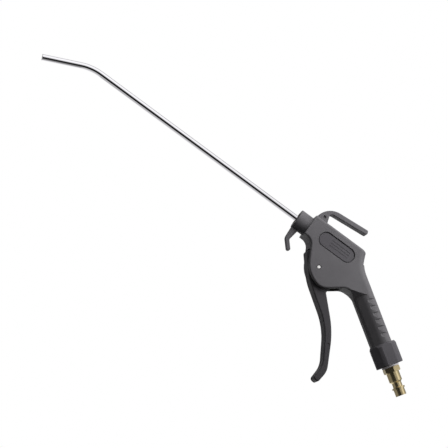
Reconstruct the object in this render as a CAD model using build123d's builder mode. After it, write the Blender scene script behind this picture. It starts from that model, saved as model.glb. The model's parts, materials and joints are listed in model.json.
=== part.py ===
"""Air blow gun: a moulded pistol body with two hanging hooks, a lever trigger that opens a poppet
valve, a long bent nozzle tube and a quick-release plug for the air hose.

The gun's plane of symmetry is XZ. The origin is the middle of the plug's nose end. X runs backward,
away from the nozzle, and Z runs up.
"""
import os
from math import cos, radians, sin, sqrt

from build123d import *

os.makedirs("parts", exist_ok=True)

# ---- driving dimensions: millimetres and degrees ----
grip_rise = 69.0            # slope of the grip axis, which leans forward
nozzle_rise = 35.0          # slope of the nozzle axis, forward and up
axes_cross = 133.9          # height up the grip axis at which the nozzle axis crosses it

body_half = 11.8            # half thickness of the body
grip_foot = 49.0            # height at which the body ends on the end nut
grip_front, grip_back = -10.8, 7.9
head_top = 11.0             # top face of the head above the nozzle axis
head_front = -45.5          # front face of the head along the nozzle axis
collar_front = -58.2        # front face of the collar along the nozzle axis
collar_radius = 9.35

tube_radius, tube_wall = 3.0, 1.0
tube_start = -41.0          # inner end of the tube, along the nozzle axis
bend_vertex = -287.2        # where the straight run and the tip run would meet
bend_turn, bend_radius = 25.5, 45.0
tip_run, tip_length = 46.0, 13.0

pivot = (-32.3, 133.3)      # trigger pin, in the side view of the grip
pin_radius = 1.5
trigger_half = 7.5
trigger_wall = 2.2
slot_half = 7.8

valve_height = 117.3        # the valve lies across the grip axis at this height
valve_bore_radius = 5.5
valve_bore_end = 4.0        # blind end, behind the grip axis
chamber_front = -12.6       # inner end of the gland
channel_radius = 4.0

hook_half, front_hook_half = 5.0, 2.5
label_centre = (-14.5, -2.5)
label_length, label_width, label_thickness = 36.3, 12.8, 0.8
label_margin, label_recess = 0.8, 1.6

nut_flat_radius, nut_round_radius = 11.9, 12.8      # across the flats, and over the rounded corners
nut_foot, washer_foot = 28.6, 27.0
nut_turn, hex_turn = 1.8, 30.0      # turns of the two hexagons about the grip axis

thread_gap = 0.02           # radial gap of parts that are screwed or pressed together
running_gap = 0.05          # radial gap of parts that turn or slide

# ---- planes and axes ----
# Side view of the grip: x runs backward across the grip, y up the grip axis.
grip_side = Plane(
    origin=(0, 0, 0),
    x_dir=(sin(radians(grip_rise)), 0, cos(radians(grip_rise))),
    z_dir=(0, -1, 0),
)
# Side view of the head: x runs backward along the nozzle axis, y away from it, upward.
head_side = Plane(
    origin=grip_side.from_local_coords((0, axes_cross)),
    x_dir=(cos(radians(nozzle_rise)), 0, -sin(radians(nozzle_rise))),
    z_dir=(0, -1, 0),
)
# Half views for turned parts: x runs along the part's axis.
grip_turn = Plane(origin=(0, 0, 0), x_dir=grip_side.y_dir, z_dir=(0, -1, 0))
valve_turn = Plane(
    origin=grip_side.from_local_coords((0, valve_height)), x_dir=grip_side.x_dir, z_dir=(0, -1, 0)
)
grip_axis = Axis(grip_turn.origin, grip_turn.x_dir)
valve_axis = Axis(valve_turn.origin, valve_turn.x_dir)
nozzle_axis = Axis(head_side.origin, head_side.x_dir)
pivot_side = Plane(
    origin=grip_side.from_local_coords(pivot), x_dir=grip_side.x_dir, z_dir=(0, -1, 0)
)


def head(back, up):
    """Point of the head's side view, given in the grip's side view."""
    return grip_side.to_local_coords(head_side.from_local_coords((back, up)))


def across(side, distance):
    """Plane square to the x direction of a side view, at a distance along it.

    On the grip its x runs backward across the grip.
    """
    return Plane(
        origin=side.from_local_coords((distance, 0)), x_dir=-side.y_dir, z_dir=side.x_dir
    )


def ring(side, distance, ring_radius, cord_radius):
    """O-ring about the x direction of a side view."""
    with BuildPart() as o_ring:
        with BuildSketch(side):
            with Locations((distance, ring_radius)):
                Circle(cord_radius)
        revolve(axis=Axis(side.origin, side.x_dir))
    return o_ring.part


def is_grip_back(edge):
    """True for an edge along the back of the grip and the hollow above it."""
    place = grip_side.to_local_coords(edge.center())
    return place.X > grip_back - 0.1 and place.Y < head_corner.Y - 2


def is_head_top(edge):
    """True for an edge of the head's top face."""
    return abs(head_side.to_local_coords(edge.center()).Y - head_top) < 0.05


def is_underside(edge):
    """True for an edge of the chin and of the head's underside."""
    return head_side.to_local_coords(edge.center()).Y < -10 and edge.center().X < -50


def is_off_pad(edge):
    """True for an edge of the trigger away from the flat face of its pad."""
    return grip_side.to_local_coords(edge.center()).X < pad_face - 0.1


def is_above_head(edge):
    """True for an edge that stands clear above the head."""
    return head_side.to_local_coords(edge.center()).Y > head_top + 2


def is_below_collar(edge):
    """True for an edge that hangs clear below the collar."""
    return head_side.to_local_coords(edge.center()).Y < -collar_radius - 2


# ---- pieces of the moulded body ----
head_corner = head(10.8, head_top)
hollow_corner = (grip_back, 121.8)      # where the hollow behind the head meets the grip
hook_edge_radius, front_hook_edge_radius = 0.9, 0.8

# Top hook: rises from the front of the head and reaches back over it.
with BuildPart() as top_hook:
    with BuildSketch(head_side):
        with BuildLine():
            bow = FilletPolyline(
                (-44.5, 9.0), (-44.5, 25.5), (1.4, 29.6), (2.7, 25.3), (-36.1, 21.5), (-32.1, 9.0),
                radius=[17.3, 1.6, 1.6, 2.5],
            )
            Line(bow @ 1, bow @ 0)
        make_face()
    extrude(amount=hook_half, both=True)
    fillet(faces().filter_by(Axis.Y).edges().filter_by(is_above_head), hook_edge_radius)

# Front hook: hangs below the front of the collar.
with BuildPart() as front_hook:
    with BuildSketch(head_side):
        with BuildLine():
            claw = FilletPolyline(
                (-57.9, -7.0), (-57.2, -20.9), (-49.0, -30.2), (-46.4, -27.6), (-52.9, -20.2),
                (-50.6, -7.0),
                radius=[6.0, 1.7, 1.7, 2.5],
            )
            Line(claw @ 1, claw @ 0)
        make_face()
    extrude(amount=front_hook_half, both=True)
    claw_edges = faces().filter_by(Axis.Y).edges().filter_by(is_below_collar)
    fillet(claw_edges, front_hook_edge_radius)

# Waste that leaves the grip's front narrow: two facets on each side, which run out under the head.
# The wider facet blends into the side through a large radius.
facet_front, facet_ridge, facet_nose = -1.0, (-8.7, 5.8), (grip_front, 3.0)
facet_blend_radius, facet_clearance = 10.0, 0.03
facet_reach, facet_rise = -15.5, 70.0
facet_end = [(-15.1, 106.9, -body_half), (-1.9, 96.8, -body_half), (grip_front, 95.0, -3.0)]
end_points = [grip_side.from_local_coords(point) for point in facet_end]
facet_end_plane = Plane(
    origin=end_points[2],
    z_dir=(end_points[0] - end_points[2]).cross(end_points[1] - end_points[2]),
)
with BuildPart() as facet_waste:
    with BuildSketch(across(grip_turn, grip_foot - 1)):
        with BuildLine():
            blend = FilletPolyline(
                (grip_back, body_half + facet_clearance),
                (facet_front, body_half + facet_clearance),
                facet_ridge,
                radius=facet_blend_radius,
            )
            Polyline(
                blend @ 1, facet_nose, (facet_reach, facet_nose[1]), (facet_reach, body_half + 4),
                (grip_back, body_half + 4), blend @ 0,
            )
        make_face()
    extrude(amount=facet_rise)
    split(bisect_by=facet_end_plane, keep=Keep.TOP)
    mirror(about=Plane.XZ)

# Waste of the finger ribs: pockets with sloping ends on each side, whose floors ramp out from the
# full depth under the step above to nothing at the foot, and fade out round the back edge.
rib_count, rib_pitch, rib_height, rib_depth = 6, 6.5, 5.8, 1.2
rib_start, rib_foot, rib_reach = -1.9, 52.9, 2.5
rib_end_radius, rib_end_slope, back_edge_radius = 4.0, 45, 6.5
rib_skin, rib_back = 0.2, grip_back + 0.4
with BuildPart() as rib_waste:
    for rib in range(rib_count):
        foot = rib_foot + rib * rib_pitch
        with BuildSketch(grip_side.offset(body_half)):
            with BuildLine():
                window = FilletPolyline(
                    (rib_start, foot + rib_height), (rib_start, foot), (grip_back + 4, foot),
                    radius=rib_end_radius,
                )
                Polyline(window @ 1, (grip_back + 4, foot + rib_height), window @ 0)
            make_face()
        extrude(amount=-rib_reach, taper=rib_end_slope)
    mirror(about=Plane.XZ)
    for rib in range(rib_count):
        foot = rib_foot + rib * rib_pitch
        for height, inset in ((foot, -rib_skin), (foot + rib_height, rib_depth)):
            with BuildSketch(across(grip_turn, height)):
                with Locations((grip_front, 0)):
                    Rectangle(
                        rib_back - grip_front, 2 * (body_half - inset), align=(Align.MIN, Align.CENTER)
                    )
                fillet(vertices().group_by(Axis.X)[-1], back_edge_radius - inset)
        loft(mode=Mode.SUBTRACT)

# Body: head, collar, grip and both hooks in one moulding, with the air passages bored through it.
top_edge_radius, lower_edge_radius, corner_radius, hollow_radius = 2.4, 1.6, 3.5, 28.8
collar_root, collar_chamfer = 4.0, 0.4
slot_mouth, slot_floor, slot_brow = -60.0, 98.0, 13.0
slot_back, slot_step, slot_throat, slot_radius = -18.0, 127.0, -23.0, 19.1
passage_radius, passage_line, passage_top = 2.2, -10.0, 148.6
nozzle_bore_radius, nozzle_bore_end = 2.5, -15.5
collar_bore_radius, collar_bore_end = 6.0, -37.4
socket_radius, socket_end = 7.0, 60.5
pin_recess_radius, pin_recess_depth = 2.1, 1.0
dimple_centre, dimple_radius, dimple_depth = (-38.5, 15.6), 1.4, 1.3
with BuildPart() as body_housing:
    with BuildSketch(grip_side):
        with BuildLine():
            chin = FilletPolyline(
                head(head_front, -10.0), head(-37.4, -10.0), head(-22.85, -37.37),
                head(-5.31, -42.06), (grip_front, 105.8), (grip_front, grip_foot),
                radius=[9.0, 26.5, 12.5, 12.0],
            )
            Line(chin @ 1, (grip_back, grip_foot))
            back = FilletPolyline(
                (grip_back, grip_foot), hollow_corner, head_corner, radius=hollow_radius
            )
            Polyline(back @ 1, head(head_front, head_top), chin @ 0)
        make_face()
    extrude(amount=body_half, both=True)
    rims = faces().filter_by(Axis.Y).edges()
    fillet(rims.filter_by(is_grip_back), back_edge_radius)
    rims = faces().filter_by(Axis.Y).edges()
    fillet(rims.filter_by(is_head_top), top_edge_radius)
    rims = faces().filter_by(Axis.Y).edges()
    fillet(rims.filter_by(is_underside), lower_edge_radius)
    # rounded back corner of the head
    with BuildSketch(head_side):
        with BuildLine():
            hollow = head_side.to_local_coords(grip_side.from_local_coords(hollow_corner))
            corner = FilletPolyline(
                (0, head_top), (10.8, head_top), (hollow.X, hollow.Y), radius=corner_radius
            )
            Polyline(corner @ 1, (20, 0), (20, 20), (0, 20), corner @ 0)
        make_face()
    extrude(amount=body_half + 1, both=True, mode=Mode.SUBTRACT)
    add(facet_waste.part, mode=Mode.SUBTRACT)
    add(rib_waste.part, mode=Mode.SUBTRACT)
    # collar
    with BuildSketch(across(head_side, collar_front)):
        Circle(collar_radius)
    extrude(amount=head_front - collar_front + collar_root)
    chamfer(faces().sort_by(nozzle_axis)[0].edges(), collar_chamfer)
    add(top_hook.part)
    add(front_hook.part)
    # slot of the trigger, open along the chin and under the head
    with BuildSketch(grip_side):
        with BuildLine():
            floor = Polyline(
                (slot_mouth, slot_floor), (slot_back, slot_floor), (slot_back, slot_step),
                (slot_throat, pivot[1]),
            )
            throat_rise = sqrt(slot_radius**2 - (slot_throat - pivot[0]) ** 2)
            throat = Line(floor @ 1, (slot_throat, pivot[1] + throat_rise))
            roof = ThreePointArc(
                throat @ 1, (pivot[0], pivot[1] + slot_radius), (pivot[0] - 14, pivot[1] + slot_brow)
            )
            Polyline(roof @ 1, (slot_mouth, pivot[1] + slot_brow), floor @ 0)
        make_face()
    extrude(amount=slot_half, both=True, mode=Mode.SUBTRACT)
    # air passages: up the grip, across through the valve, up to the nozzle bore
    with BuildSketch(across(grip_turn, grip_foot - 1)):
        Circle(channel_radius)
    extrude(amount=valve_height - grip_foot + 1, mode=Mode.SUBTRACT)
    with BuildSketch(across(grip_turn, grip_foot - 1)):
        Circle(socket_radius)
    extrude(amount=socket_end - grip_foot + 1, mode=Mode.SUBTRACT)
    with BuildSketch(across(valve_turn, slot_back - 1)):
        Circle(valve_bore_radius)
    extrude(amount=valve_bore_end - slot_back + 1, mode=Mode.SUBTRACT)
    with BuildSketch(across(grip_turn, valve_height)):
        with Locations((passage_line, 0)):
            Circle(passage_radius)
    extrude(amount=passage_top - valve_height, mode=Mode.SUBTRACT)
    with BuildSketch(across(head_side, collar_front - 1)):
        Circle(nozzle_bore_radius)
    extrude(amount=nozzle_bore_end - collar_front + 1, mode=Mode.SUBTRACT)
    with BuildSketch(across(head_side, collar_front - 1)):
        Circle(collar_bore_radius)
    extrude(amount=collar_bore_end - collar_front + 1, mode=Mode.SUBTRACT)
    # pin hole with a shallow recess round each end
    with BuildSketch(pivot_side):
        Circle(pin_radius + thread_gap)
    extrude(amount=body_half + 1, both=True, mode=Mode.SUBTRACT)
    for side in (1, -1):
        with BuildSketch(pivot_side.offset(side * body_half)):
            Circle(pin_recess_radius)
        extrude(amount=-side * pin_recess_depth, mode=Mode.SUBTRACT)
        with BuildSketch(head_side.offset(side * body_half)):
            with Locations(label_centre):
                SlotOverall(label_length + 2 * label_margin, label_width + 2 * label_margin)
        extrude(amount=-side * label_recess, mode=Mode.SUBTRACT)
        with BuildSketch(head_side.offset(side * hook_half)):
            with Locations(dimple_centre):
                Circle(dimple_radius)
        extrude(amount=-side * dimple_depth, mode=Mode.SUBTRACT)
body_housing.part.label = "body_housing"
export_step(body_housing.part, "parts/body_housing.step")

# Inlays: an oval plate in the recess on each side, with plain grooves along it.
groove_length, groove_width, groove_depth, groove_pitch = 20.0, 0.9, 0.25, 2.6
groove_count, label_chamfer = 3, 0.2
groove_centre = (label_centre[0] + 3.2, label_centre[1])
for name, side in (("label_inlay_left", 1), ("label_inlay_right", -1)):
    with BuildPart() as label_inlay:
        with BuildSketch(head_side.offset(side * (body_half - label_recess))):
            with Locations(label_centre):
                SlotOverall(label_length, label_width)
        extrude(amount=side * label_thickness)
        chamfer(faces().sort_by(Axis.Y)[0 if side == 1 else -1].edges(), label_chamfer)
        with BuildSketch(head_side.offset(side * (body_half - label_recess + label_thickness))):
            with Locations(groove_centre):
                with GridLocations(0, groove_pitch, 1, groove_count):
                    SlotOverall(groove_length, groove_width)
        extrude(amount=-side * groove_depth, mode=Mode.SUBTRACT)
    label_inlay.part.label = name
    export_step(label_inlay.part, f"parts/{name}.step")

# ---- nozzle ----
# Bent tube: a long straight run, one bend and a short run to the tip.
tube_bore = tube_radius - tube_wall
bend_tangent = (-cos(radians(bend_turn)), -sin(radians(bend_turn)))
tip_seam = tip_run - tip_length


def tip_point(distance):
    """Point of the tip run, at a distance past the bend's vertex, in the head's side view."""
    return (bend_vertex + distance * bend_tangent[0], distance * bend_tangent[1])


with BuildPart() as nozzle_tube:
    with BuildLine(head_side) as tube_path:
        FilletPolyline((tube_start, 0), (bend_vertex, 0), tip_point(tip_seam), radius=bend_radius)
    with BuildSketch(across(head_side, tube_start)):
        Circle(tube_radius)
        Circle(tube_bore, mode=Mode.SUBTRACT)
    sweep(path=tube_path.line)
nozzle_tube.part.label = "nozzle_tube"
export_step(nozzle_tube.part, "parts/nozzle_tube.step")

# Tip: a turned end with a spigot inside the tube and a narrow outlet.
spigot_length, outlet_radius, tip_bore_radius, seam_width = 8.0, 0.9, 1.3, 0.3
tip_side = Plane(
    origin=head_side.from_local_coords(tip_point(tip_seam)),
    x_dir=head_side.from_local_coords(tip_point(1)) - head_side.from_local_coords(tip_point(0)),
    z_dir=(0, -1, 0),
)
with BuildPart() as nozzle_tip:
    with BuildSketch(tip_side):
        Polygon(
            (-spigot_length, tip_bore_radius),
            (-spigot_length, tube_bore - thread_gap),
            (0, tube_bore - thread_gap),
            (0, tube_radius - 0.25),
            (seam_width, tube_radius - 0.25),
            (seam_width, tube_radius),
            (tip_length - 0.4, tube_radius),
            (tip_length, tube_radius - 0.4),
            (tip_length, outlet_radius),
            (tip_length - 5, outlet_radius),
            (tip_length - 5.4, tip_bore_radius),
            align=None,
        )
    revolve(axis=Axis(tip_side.origin, tip_side.x_dir))
nozzle_tip.part.label = "nozzle_tip"
export_step(nozzle_tip.part, "parts/nozzle_tip.step")

# Bush: holds the tube in the collar, with the tube's end on a shoulder.
bush_front, bush_end = collar_front + 0.5, -38.5
with BuildPart() as nozzle_bush:
    with BuildSketch(head_side):
        Polygon(
            (bush_front, tube_radius + thread_gap),
            (bush_front, collar_bore_radius - thread_gap),
            (bush_end, collar_bore_radius - thread_gap),
            (bush_end, tube_bore),
            (tube_start, tube_bore),
            (tube_start, tube_radius + thread_gap),
            align=None,
        )
    revolve(axis=nozzle_axis)
nozzle_bush.part.label = "nozzle_bush"
export_step(nozzle_bush.part, "parts/nozzle_bush.step")

bush_ring_radius, bush_ring_cord = 5.2, (collar_bore_end - bush_end) / 2 - thread_gap
with BuildPart() as nozzle_o_ring:
    add(ring(head_side, (collar_bore_end + bush_end) / 2, bush_ring_radius, bush_ring_cord))
nozzle_o_ring.part.label = "nozzle_o_ring"
export_step(nozzle_o_ring.part, "parts/nozzle_o_ring.step")

# ---- trigger ----
# Lever: hollow at the back, with cross ribs and a pad that pushes the valve stem.
pad_face, pad_foot, pad_top = -24.1, 112.8, 122.5
lever_rib_heights = (101.0, 89.0, 77.0, 65.0)
lever_rib_thickness, lever_edge_radius = 1.6, 1.2
gate_centre, gate_radius, gate_depth, gate_slope = (-49.2, 64.9), 1.9, 0.35, 45
with BuildPart() as trigger:
    with BuildSketch(grip_side):
        with BuildLine():
            pad = Line((pad_face, pad_foot), (pad_face, pad_top))
            rim = FilletPolyline(
                pad @ 1, (-26.6, 150.2), (-36.4, 151.4), (-43.7, 126.1), (-44.6, 82.3),
                (-59.9, 50.3), (-72.6, 42.6), (-70.1, 37.1), (-58.4, 43.2), (-40.4, 75.2),
                (-33.3, 110.0), pad @ 0,
                radius=[3.0, 2.5, 60.0, 65.0, 20.0, 2.6, 2.2, 16.0, 90.0, 2.0],
            )
        make_face()
    extrude(amount=trigger_half, both=True)
    rims = faces().filter_by(Axis.Y).edges()
    fillet(rims.filter_by(is_off_pad), lever_edge_radius)
    # pocket behind the front wall, with the cross ribs left standing
    with BuildSketch(grip_side):
        with BuildLine():
            hollow = Polyline(
                (-41.6, 110.0), (-41.4, 97.5), (-43.4, 84.0), (-47.6, 70.0), (-54.0, 57.0),
                (-59.0, 50.5), (-50.0, 47.0), (-25.0, 84.0), (-36.5, 108.0),
            )
            Line(hollow @ 1, hollow @ 0)
        make_face()
        with Locations(*[(-45, height) for height in lever_rib_heights]):
            Rectangle(50, lever_rib_thickness, mode=Mode.SUBTRACT)
    extrude(amount=trigger_half - trigger_wall, both=True, mode=Mode.SUBTRACT)
    # pocket above the pad, round the middle of the pin
    with BuildSketch(grip_side):
        Polygon(
            (-40.6, 124.5), (-39.0, 134.5), (-36.2, 145.5), (-33.0, 149.0), (-20.0, 149.0),
            (-20.0, 124.5), align=None,
        )
    extrude(amount=trigger_half - trigger_wall, both=True, mode=Mode.SUBTRACT)
    with BuildSketch(pivot_side):
        Circle(pin_radius + running_gap)
    extrude(amount=trigger_half + 1, both=True, mode=Mode.SUBTRACT)
    # shallow dished mark of the mould's gate on each side
    for side in (1, -1):
        with BuildSketch(grip_side.offset(side * trigger_half)):
            with Locations(gate_centre):
                Circle(gate_radius)
        extrude(amount=-side * gate_depth, taper=gate_slope, mode=Mode.SUBTRACT)
trigger.part.label = "trigger"
export_step(trigger.part, "parts/trigger.step")

# Pin: pressed through both walls of the body, with the trigger turning on it.
pin_half, pin_chamfer = body_half - 0.3, 0.25
with BuildPart() as trigger_pin:
    with BuildSketch(pivot_side):
        Circle(pin_radius)
    extrude(amount=pin_half, both=True)
    chamfer(faces().filter_by(Axis.Y).edges(), pin_chamfer)
trigger_pin.part.label = "trigger_pin"
export_step(trigger_pin.part, "parts/trigger_pin.step")

# ---- valve, from the trigger's pad to the blind end of its bore ----
stem_radius, rod_radius = 2.0, 1.5
gland_front, gland_head_radius = -20.0, 6.6
stem_front, stem_end = -24.0, -0.6
bore_fit = valve_bore_radius - thread_gap
seat_front, seat_back, seat_bore = -7.6, -5.5, 2.9
seal_front, seal_back, poppet_back = -5.4, -4.2, -2.0
poppet_radius, shoulder_radius, neck_radius, clip_radius = 4.6, 2.2, 1.1, 2.6
clip_back, clip_mouth = -1.4, 1.6

# Gland: screwed into the bore, guides the stem and holds both O-rings.
with BuildPart() as valve_gland:
    with BuildSketch(valve_turn):
        Polygon(
            (gland_front, stem_radius + running_gap),
            (gland_front, gland_head_radius - 0.4),
            (gland_front + 0.4, gland_head_radius),
            (slot_back, gland_head_radius),
            (slot_back, bore_fit),
            (-14.3, bore_fit), (-14.3, 4.35), (-13.1, 4.35), (-13.1, bore_fit),
            (chamber_front, bore_fit),
            (chamber_front, stem_radius + running_gap),
            (-14.9, stem_radius + running_gap), (-14.9, 3.6), (-16.6, 3.6),
            (-16.6, stem_radius + running_gap),
            align=None,
        )
    revolve(axis=valve_axis)
    # two notches for the assembly key
    with BuildSketch(across(valve_turn, gland_front)):
        with Locations((0, gland_head_radius), (0, -gland_head_radius)):
            Rectangle(1.6, 3.2)
    extrude(amount=1.2, mode=Mode.SUBTRACT)
valve_gland.part.label = "valve_gland"
export_step(valve_gland.part, "parts/valve_gland.step")

with BuildPart() as gland_o_ring:
    add(ring(valve_turn, -13.7, 4.93, 0.54))
gland_o_ring.part.label = "gland_o_ring"
export_step(gland_o_ring.part, "parts/gland_o_ring.step")

with BuildPart() as stem_o_ring:
    add(ring(valve_turn, -15.75, 2.81, 0.76))
stem_o_ring.part.label = "stem_o_ring"
export_step(stem_o_ring.part, "parts/stem_o_ring.step")

# Seat: a ring pressed into the bore, sealed round its edge.
with BuildPart() as valve_seat:
    with BuildSketch(valve_turn):
        Polygon(
            (seat_front, seat_bore), (seat_front, bore_fit), (-7.15, bore_fit), (-7.15, 4.4),
            (-5.95, 4.4), (-5.95, bore_fit), (seat_back, bore_fit), (seat_back, seat_bore),
            align=None,
        )
    revolve(axis=valve_axis)
valve_seat.part.label = "valve_seat"
export_step(valve_seat.part, "parts/valve_seat.step")

with BuildPart() as seat_o_ring:
    add(ring(valve_turn, -6.55, 4.95, 0.5))
seat_o_ring.part.label = "seat_o_ring"
export_step(seat_o_ring.part, "parts/seat_o_ring.step")

# Stem: a domed push rod with a shoulder in front of the poppet's seal and a groove for the clip.
with BuildPart() as valve_stem:
    with BuildSketch(valve_turn):
        with BuildLine():
            dome = CenterArc((stem_front + stem_radius, 0), stem_radius, 90, 90)
            Polyline(
                dome @ 0, (chamber_front + 0.2, stem_radius), (chamber_front + 0.7, rod_radius),
                (seal_front - 1, rod_radius), (seal_front - 1, shoulder_radius),
                (seal_front, shoulder_radius), (seal_front, rod_radius),
                (poppet_back, rod_radius), (poppet_back, neck_radius), (clip_back, neck_radius),
                (clip_back, rod_radius), (stem_end, rod_radius), (stem_end, 0), dome @ 1,
            )
        make_face()
    revolve(axis=valve_axis)
valve_stem.part.label = "valve_stem"
export_step(valve_stem.part, "parts/valve_stem.step")

with BuildPart() as poppet_seal:
    with BuildSketch(across(valve_turn, seal_front)):
        Circle(poppet_radius)
        Circle(rod_radius + thread_gap, mode=Mode.SUBTRACT)
    extrude(amount=seal_back - seal_front)
poppet_seal.part.label = "poppet_seal"
export_step(poppet_seal.part, "parts/poppet_seal.step")

with BuildPart() as poppet:
    with BuildSketch(valve_turn):
        Polygon(
            (seal_back, rod_radius + thread_gap), (seal_back, poppet_radius), (-3.0, poppet_radius),
            (-2.6, poppet_radius - 0.4), (poppet_back, poppet_radius - 0.4),
            (poppet_back, rod_radius + thread_gap),
            align=None,
        )
    revolve(axis=valve_axis)
poppet.part.label = "poppet"
export_step(poppet.part, "parts/poppet.step")

# Clip: an open ring in the stem's groove.
with BuildPart() as stem_clip:
    with BuildSketch(across(valve_turn, poppet_back)):
        Circle(clip_radius)
        Circle(neck_radius + thread_gap, mode=Mode.SUBTRACT)
        with Locations((0, clip_radius)):
            Rectangle(clip_mouth, 2 * clip_radius, mode=Mode.SUBTRACT)
    extrude(amount=clip_back - poppet_back)
stem_clip.part.label = "stem_clip"
export_step(stem_clip.part, "parts/stem_clip.step")

# Spring: pushes the poppet onto its seat.
spring_wire, spring_radius, spring_turns = 0.35, 3.6, 2.75
spring_start, spring_end = poppet_back + 0.4, valve_bore_end - 0.4
spring_length = spring_end - spring_start
with BuildPart() as return_spring:
    with BuildLine():
        coil = Helix(
            spring_length / spring_turns, spring_length, spring_radius,
            center=valve_turn.from_local_coords((spring_start, 0)), direction=valve_turn.x_dir,
        )
    with BuildSketch(Plane(origin=coil @ 0, z_dir=coil % 0)):
        Circle(spring_wire)
    sweep(path=coil, is_frenet=True)
return_spring.part.label = "return_spring"
export_step(return_spring.part, "parts/return_spring.step")

# ---- air inlet, from the grip down to the hose plug ----
adaptor_foot, adaptor_radius, adaptor_socket_end = 29.0, 9.0, 39.5
thread_radius, thread_end = 6.5, 38.6
hex_foot, hex_flat_radius = 22.0, 7.0
washer_radius, washer_gap = 8.0, 0.1

# Adaptor: brass insert screwed up into the grip; the plug screws into it.
with BuildPart() as inlet_adaptor:
    with BuildSketch(grip_turn):
        Polygon(
            (adaptor_foot, thread_radius + thread_gap),
            (adaptor_foot, adaptor_radius - thread_gap),
            (grip_foot, adaptor_radius - thread_gap),
            (grip_foot, socket_radius - thread_gap),
            (51.9, socket_radius - thread_gap), (51.9, 5.9), (53.1, 5.9),
            (53.1, socket_radius - thread_gap),
            (socket_end - 0.5, socket_radius - thread_gap),
            (socket_end - 0.5, channel_radius),
            (adaptor_socket_end, channel_radius),
            (adaptor_socket_end, thread_radius + thread_gap),
            align=None,
        )
    revolve(axis=grip_axis)
inlet_adaptor.part.label = "inlet_adaptor"
export_step(inlet_adaptor.part, "parts/inlet_adaptor.step")

with BuildPart() as inlet_o_ring:
    add(ring(grip_turn, 52.5, 6.46, 0.52))
inlet_o_ring.part.label = "inlet_o_ring"
export_step(inlet_o_ring.part, "parts/inlet_o_ring.step")

# End nut: hexagonal cap over the adaptor, with turned corners and a chamfer towards the grip.
with BuildPart() as end_nut:
    with BuildSketch(across(grip_turn, nut_foot)):
        RegularPolygon(nut_flat_radius / cos(radians(30)), 6, rotation=nut_turn)
        Circle(adaptor_radius, mode=Mode.SUBTRACT)
    extrude(amount=grip_foot - nut_foot)
    with BuildSketch(grip_turn):
        Polygon(
            (nut_foot, 0), (nut_foot, nut_round_radius - 0.6), (nut_foot + 0.6, nut_round_radius),
            (grip_foot - 2.2, nut_round_radius), (grip_foot, nut_round_radius - 1.3), (grip_foot, 0),
            align=None,
        )
    revolve(axis=grip_axis, mode=Mode.INTERSECT)
end_nut.part.label = "end_nut"
export_step(end_nut.part, "parts/end_nut.step")

with BuildPart() as sealing_washer:
    with BuildSketch(across(grip_turn, washer_foot)):
        Circle(washer_radius)
        Circle(thread_radius + washer_gap, mode=Mode.SUBTRACT)
    extrude(amount=nut_foot - washer_foot)
sealing_washer.part.label = "sealing_washer"
export_step(sealing_washer.part, "parts/sealing_washer.step")

# Hose plug: nose, locking ring, neck, barrel, hexagon and thread, bored through.
plug_bore, plug_nose, plug_barrel, plug_neck = 3.75, 5.0, 6.0, 4.45
with BuildPart() as hose_plug:
    with BuildSketch(across(grip_turn, hex_foot)):
        RegularPolygon(hex_flat_radius / cos(radians(30)), 6, rotation=hex_turn)
    extrude(amount=washer_foot - hex_foot)
    with BuildSketch(grip_turn):
        Polygon(
            (hex_foot, 0), (hex_foot, 7.3), (hex_foot + 0.8, 8.1), (washer_foot - 0.8, 8.1),
            (washer_foot, 7.3), (washer_foot, 0), align=None,
        )
    revolve(axis=grip_axis, mode=Mode.INTERSECT)
    with BuildSketch(grip_turn):
        Polygon(
            (0, 0), (0, plug_nose), (6.3, plug_nose), (6.3, plug_barrel), (7.7, plug_barrel),
            (8.4, plug_neck), (12.2, plug_neck), (13.4, 5.5), (13.4, 5.8), (13.6, plug_barrel),
            (hex_foot, plug_barrel), (hex_foot, 0),
            align=None,
        )
    revolve(axis=grip_axis)
    with BuildSketch(across(grip_turn, washer_foot)):
        Circle(thread_radius)
    extrude(amount=thread_end - washer_foot)
    with BuildSketch(across(grip_turn, 0)):
        Circle(plug_bore)
    extrude(amount=thread_end, mode=Mode.SUBTRACT)
hose_plug.part.label = "hose_plug"
export_step(hose_plug.part, "parts/hose_plug.step")
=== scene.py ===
"""Air blow gun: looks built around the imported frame.

Row frame, in metres: the origin is the middle of the plug's nose end, +X runs backward, +Z up, and
the gun's plane of symmetry is XZ.
"""
import json
from math import cos, radians, sin

import bpy
from mathutils import Matrix, Vector

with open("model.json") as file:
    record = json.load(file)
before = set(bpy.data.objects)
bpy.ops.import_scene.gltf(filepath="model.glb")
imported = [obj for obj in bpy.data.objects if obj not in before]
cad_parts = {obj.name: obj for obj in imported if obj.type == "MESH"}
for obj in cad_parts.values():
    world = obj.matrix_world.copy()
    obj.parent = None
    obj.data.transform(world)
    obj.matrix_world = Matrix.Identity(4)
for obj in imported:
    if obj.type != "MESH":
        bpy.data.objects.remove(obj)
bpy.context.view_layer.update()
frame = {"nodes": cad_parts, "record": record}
nodes = frame["nodes"]
scene = bpy.context.scene

# ---- camera: long lens, turned towards the nozzle and a little below the gun ----
VIEW_RIGHT = Vector((0.9816, -0.1908, 0.0)).normalized()
VIEW_BACK = Vector((-0.188, -0.967, -0.174)).normalized()
VIEW_UP = VIEW_BACK.cross(VIEW_RIGHT).normalized()
VIEW_DISTANCE = 2.0
FRAME_WIDTH = 0.4032  # what the picture spans at the gun
SENSOR = 36.0  # mm
AIM = VIEW_RIGHT * -0.1595 + VIEW_UP * 0.1542

camera_data = bpy.data.cameras.new("camera")
camera = bpy.data.objects.new("camera", camera_data)
scene.collection.objects.link(camera)
camera_data.sensor_width = SENSOR
camera_data.lens = SENSOR * VIEW_DISTANCE / FRAME_WIDTH
camera_data.clip_start, camera_data.clip_end = 0.01, 50
camera.matrix_world = Matrix.Translation(AIM + VIEW_BACK * VIEW_DISTANCE) @ Matrix(
    (VIEW_RIGHT, VIEW_UP, VIEW_BACK)
).transposed().to_4x4()
bpy.context.scene.camera = camera
scene.view_settings.view_transform = "Standard"


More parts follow.
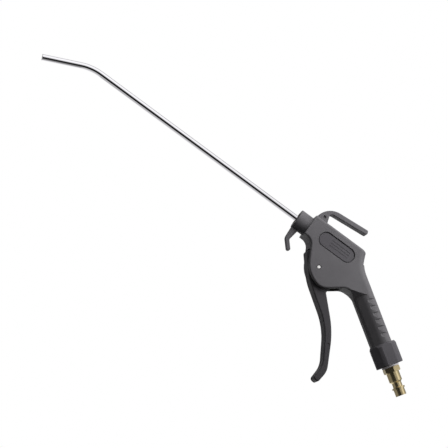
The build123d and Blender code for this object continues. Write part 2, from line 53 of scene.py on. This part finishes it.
# ---- material helpers ----
class Graph:
    """Short calls for building one material's nodes."""

    def __init__(self, name):
        self.material = bpy.data.materials.new(name)
        self.material.use_nodes = True
        self.tree = self.material.node_tree
        self.shader = self.tree.nodes["Principled BSDF"]
        self.place = self.add("ShaderNodeTexCoord").outputs["Object"]

    def add(self, kind, **settings):
        node = self.tree.nodes.new(kind)
        for key, value in settings.items():
            setattr(node, key, value)
        return node

    def put(self, value, socket):
        """Link a node's output, or set a number or an RGB colour."""
        if hasattr(value, "node"):
            self.tree.links.new(value, socket)
        elif hasattr(value, "__len__"):
            socket.default_value = (*value, 1)
        else:
            socket.default_value = value

    def noise(self, scale, detail=3.0, roughness=0.5, place=None):
        node = self.add("ShaderNodeTexNoise")
        self.put(place or self.place, node.inputs["Vector"])
        self.put(scale, node.inputs["Scale"])
        self.put(detail, node.inputs["Detail"])
        self.put(roughness, node.inputs["Roughness"])
        return node.outputs["Fac"]

    def rise(self, source, start, end):
        """Black below start, white above end."""
        node = self.add("ShaderNodeValToRGB")
        for element, position, level in zip(node.color_ramp.elements, (start, end), (0, 1)):
            element.position = position
            element.color = (level, level, level, 1)
        self.put(source, node.inputs["Fac"])
        return node.outputs["Color"]

    def remap(self, source, low, high, start, end):
        """Turn start..end into low..high."""
        node = self.add("ShaderNodeMapRange")
        for key, value in (("Value", source), ("From Min", start), ("From Max", end),
                           ("To Min", low), ("To Max", high)):
            self.put(value, node.inputs[key])
        return node.outputs["Result"]

    def mix(self, factor, a, b):
        node = self.add("ShaderNodeMix", data_type="RGBA")
        for key, value in (("Factor", factor), ("A", a), ("B", b)):
            self.put(value, node.inputs[key])
        return node.outputs["Result"]

    def math(self, operation, a, b):
        node = self.add("ShaderNodeMath", operation=operation)
        self.put(a, node.inputs[0])
        self.put(b, node.inputs[1])
        return node.outputs["Value"]

    def bump(self, height, distance, strength):
        node = self.add("ShaderNodeBump")
        self.put(height, node.inputs["Height"])
        self.put(distance, node.inputs["Distance"])
        self.put(strength, node.inputs["Strength"])
        return node.outputs["Normal"]

    def set(self, **values):
        for key, value in values.items():
            self.put(value, self.shader.inputs[key.replace("_", " ")])


# Noise seldom leaves this range, so it is stretched to fill a spread of roughness.
NOISE_LOW, NOISE_HIGH = 0.3, 0.7


def moulded_plastic(name, dark, light, rough=(0.46, 0.56), grain=0.00002):
    """Glass-filled nylon: fine spark-eroded grain, faint mottling and a few pale dust specks."""
    fine_scale, coarse_scale, mottle_scale, speck_scale, wear_scale = 4200, 1500, 38, 1900, 70
    coarse_share, grain_strength = 0.6, 0.5
    speck_strength, speck_brightness = 0.12, 1.9
    g = Graph(name)
    mottle = g.noise(mottle_scale, detail=4.0, roughness=0.55)
    tone = g.mix(g.remap(mottle, 0.0, 1.0, NOISE_LOW, NOISE_HIGH), dark, light)
    specks = g.rise(g.noise(speck_scale, detail=1.0, roughness=0.4), 0.70, 0.76)
    pale = [channel * speck_brightness for channel in light]
    fine = g.noise(fine_scale, detail=2.0, roughness=0.6)
    coarse = g.math("MULTIPLY", g.noise(coarse_scale, detail=2.0), coarse_share)
    g.set(
        Base_Color=g.mix(g.math("MULTIPLY", specks, speck_strength), tone, pale),
        Roughness=g.remap(g.noise(wear_scale), *rough, NOISE_LOW, NOISE_HIGH),
        Specular_IOR_Level=0.12,
        Normal=g.bump(g.math("ADD", fine, coarse), grain, grain_strength),
    )
    return g.material


def turned_metal(name, colour, shade, rough, axis, line_scale=2200, line_height=0.000004,
                 tarnish=0.3, metallic=1.0):
    """Turned metal: faint lathe lines round its axis, smears and uneven tarnish."""
    tarnish_scale, smear_scale, line_strength = 160, 420, 0.6
    g = Graph(name)
    along = g.add("ShaderNodeVectorMath", operation="DOT_PRODUCT")
    g.put(g.place, along.inputs[0])
    along.inputs[1].default_value = axis
    position = g.add("ShaderNodeCombineXYZ")
    g.put(along.outputs["Value"], position.inputs["X"])
    lines = g.noise(line_scale, detail=2.0, place=position.outputs["Vector"])
    patches = g.remap(g.noise(tarnish_scale, detail=4.0, roughness=0.6), 0.0, 1.0, 0.4, 0.75)
    g.set(
        Base_Color=g.mix(g.math("MULTIPLY", patches, tarnish), colour, shade),
        Metallic=metallic,
        Roughness=g.remap(g.noise(smear_scale), *rough, NOISE_LOW, NOISE_HIGH),
        Normal=g.bump(lines, line_height, line_strength),
    )
    return g.material


def nylon(name):
    """Washer: off-white, a little cloudy, with a fine grain."""
    cloud_scale, wear_scale, grain_scale = 300, 500, 2400
    g = Graph(name)
    g.set(
        Base_Color=g.mix(g.noise(cloud_scale), (0.72, 0.70, 0.76), (0.84, 0.82, 0.87)),
        Roughness=g.remap(g.noise(wear_scale), 0.3, 0.42, 0.0, 1.0),
        Normal=g.bump(g.noise(grain_scale), 0.00001, 0.5),
    )
    return g.material


# ---- finishes, by the record's material slots ----
GRIP_TILT, NOZZLE_TILT = radians(21), radians(35)
GRIP_UP = Vector((-sin(GRIP_TILT), 0, cos(GRIP_TILT)))
GRIP_BACK = Vector((cos(GRIP_TILT), 0, sin(GRIP_TILT)))
NOZZLE_BACK = Vector((cos(NOZZLE_TILT), 0, -sin(NOZZLE_TILT)))

FINISHES = {
    "body_plastic": moulded_plastic(
        "body_plastic", (0.111, 0.107, 0.114), (0.127, 0.123, 0.130)),
    "label_plastic": moulded_plastic(
        "label_plastic", (0.083, 0.079, 0.087), (0.093, 0.089, 0.097), (0.42, 0.52), 0.00001),
    "nut_plastic": moulded_plastic(
        "nut_plastic", (0.082, 0.078, 0.086), (0.092, 0.088, 0.096)),
    "trigger_plastic": moulded_plastic(
        "trigger_plastic", (0.058, 0.055, 0.060), (0.066, 0.063, 0.068), (0.48, 0.6)),
    "seal_rubber": moulded_plastic(
        "seal_rubber", (0.012, 0.012, 0.012), (0.018, 0.018, 0.018), (0.5, 0.6)),
    "nozzle_chrome": turned_metal(
        "nozzle_chrome", (0.88, 0.87, 0.90), (0.80, 0.785, 0.825), (0.05, 0.09), NOZZLE_BACK,
        line_scale=900, line_height=0.000001, tarnish=0.2),
    "brass": turned_metal(
        "brass", (0.83, 0.66, 0.36), (0.62, 0.46, 0.22), (0.18, 0.3), GRIP_UP),
    "plug_brass": turned_metal(
        "plug_brass", (0.70, 0.58, 0.34), (0.52, 0.40, 0.20), (0.15, 0.22), GRIP_UP,
        metallic=0.94),
    "pin_steel": turned_metal(
        "pin_steel", (0.92, 0.91, 0.90), (0.80, 0.79, 0.78), (0.2, 0.3), GRIP_BACK,
        metallic=0.3),
    "washer_nylon": nylon("washer_nylon"),
}
for row in frame["record"]["subparts"]:
    node = nodes[row["node"]]
    node.data.materials.clear()
    node.data.materials.append(FINISHES[row["material_slot"]])

# ---- stage: a pale floor that neither lights nor shades the gun ----
FLOOR_LEVEL = -0.30
FLOOR_REACH = 6.0
floor_mesh = bpy.data.meshes.new("floor")
floor_mesh.from_pydata(
    [(x * FLOOR_REACH, y * FLOOR_REACH, FLOOR_LEVEL)
     for x, y in ((-1, -1), (1, -1), (1, 1), (-1, 1))],
    [], [(0, 1, 2, 3)])
floor = bpy.data.objects.new("floor", floor_mesh)
scene.collection.objects.link(floor)
floor_graph = Graph("floor")
floor_graph.set(
    Base_Color=floor_graph.mix(
        floor_graph.noise(3, detail=2.0), (0.86, 0.86, 0.86), (0.90, 0.90, 0.90)),
    Roughness=0.9,
    Specular_IOR_Level=0.1,
    Emission_Color=(1.0, 1.0, 1.0),
    Emission_Strength=0.4,
)
floor_mesh.materials.append(floor_graph.material)
floor.visible_diffuse = floor.visible_glossy = floor.visible_shadow = False

# ---- surround: white to the camera; only reflections see its bands of light and dark ----
# The turn goes round the nozzle: 0 is towards the camera, 90 degrees towards the picture's upper
# right. Each table gives brightness against the turn, from -180 degrees at 0 to 180 at 1.
UPPER_RIGHT = VIEW_RIGHT * 0.574 + VIEW_UP * 0.819
TUBE_BANDS = (
    (0.0, 1.0), (0.17, 0.95), (0.22, 0.60), (0.35, 0.55), (0.37, 0.012), (0.53, 0.01), (0.59, 1.0),
    (0.69, 1.15), (0.765, 1.05), (0.785, 0.30), (0.82, 0.30), (0.85, 1.0),
)
OTHER_BANDS = (
    (0.0, 0.25), (0.17, 0.25), (0.22, 0.28), (0.35, 0.30), (0.38, 0.03), (0.52, 0.02),
    (0.60, 0.35), (0.68, 1.25), (0.75, 0.60), (0.85, 0.30),
)
# The tube reflects only a strip of the surround, square to this direction: the sine of the angle
# off square runs from -1 at 0 to 1 at 1.
ALONG_TUBE = VIEW_RIGHT * 0.921 - VIEW_UP * 0.391
TUBE_STRIP = ((0.35, 0.0), (0.39, 1.0), (0.61, 1.0), (0.65, 0.0))


def surround():
    """World whose reflections give the chrome tube its black, white and grey bands."""
    world = bpy.data.worlds.new("studio")
    scene.world = world
    world.use_nodes = True
    world.cycles_visibility.diffuse = False
    tree = world.node_tree
    tree.nodes.clear()

    def add(kind, inputs=(), **settings):
        node = tree.nodes.new(kind)
        for key, value in settings.items():
            setattr(node, key, value)
        for key, value in inputs:
            if hasattr(value, "node"):
                tree.links.new(value, node.inputs[key])
            else:
                node.inputs[key].default_value = value
        return node

    direction = add("ShaderNodeTexCoord").outputs["Generated"]

    def facing(axis):
        return add("ShaderNodeVectorMath", [(0, direction), (1, axis)],
                   operation="DOT_PRODUCT").outputs["Value"]

    def levels(source, reach, stops):
        """Brightness read from a table, for a source from -reach to reach."""
        spread = add("ShaderNodeMapRange",
                     [("Value", source), ("From Min", -reach), ("From Max", reach)])
        node = add("ShaderNodeValToRGB", [("Fac", spread.outputs["Result"])])
        node.color_ramp.interpolation = "LINEAR"
        elements = node.color_ramp.elements
        while len(elements) < len(stops):
            elements.new(0.5)
        for element, (position, level) in zip(elements, stops):
            element.position = position
            element.color = (level, level, level, 1)
        return node.outputs["Color"]

    turn = add("ShaderNodeMath", [(0, facing(UPPER_RIGHT)), (1, facing(VIEW_BACK))],
               operation="ARCTAN2").outputs["Value"]
    half_turn = radians(180)
    bands = add("ShaderNodeMix", [
        ("Factor", levels(facing(ALONG_TUBE), 1.0, TUBE_STRIP)),
        ("A", levels(turn, half_turn, OTHER_BANDS)),
        ("B", levels(turn, half_turn, TUBE_BANDS)),
    ], data_type="RGBA")
    light = add("ShaderNodeBackground", [("Color", bands.outputs["Result"])])
    white = add("ShaderNodeBackground", [("Color", (1, 1, 1, 1))])
    path = add("ShaderNodeLightPath")
    mixer = add("ShaderNodeMixShader", [
        ("Fac", path.outputs["Is Camera Ray"]),
        (1, light.outputs["Background"]),
        (2, white.outputs["Background"]),
    ])
    add("ShaderNodeOutputWorld", [("Surface", mixer.outputs["Shader"])])


surround()

# ---- lights, placed in the camera's directions round a point near the head ----
TARGET = VIEW_RIGHT * -0.06 + VIEW_UP * 0.13


def lamp(name, kind, right, up, back, **settings):
    """Light aimed at the target and kept out of reflections."""
    data = bpy.data.lights.new(name, kind)
    for key, value in settings.items():
        setattr(data, key, value)
    light = bpy.data.objects.new(name, data)
    scene.collection.objects.link(light)
    offset = VIEW_RIGHT * right + VIEW_UP * up + VIEW_BACK * back
    light.location = TARGET + offset
    light.rotation_euler = offset.to_track_quat("Z", "Y").to_euler()
    light.visible_glossy = False
    return light


def softbox(name, right, up, back, watts):
    """Square area light, close to the gun."""
    lamp(name, "AREA", right, up, back,
         shape="SQUARE", size=0.25, energy=watts).visible_camera = False


def fill(name, right, up, back, strength, spread=60):
    """Broad even light over the whole gun. The spread is in degrees."""
    lamp(name, "SUN", right, up, back, energy=strength, angle=radians(spread))


softbox("key", 0.15, 0.25, 0.12, 1.25)
softbox("side", 0.3, 0.05, 0.1, 0.85)
fill("front_fill", -0.4, 0.0, 1.0, 0.22)
fill("left_fill", -1.0, -0.1, -0.4, 0.6, spread=40)
fill("back_fill", -0.2, 0.7, -1.0, 0.5)
fill("far_fill", 0.1, 0.1, -1.0, 4.5, spread=16)
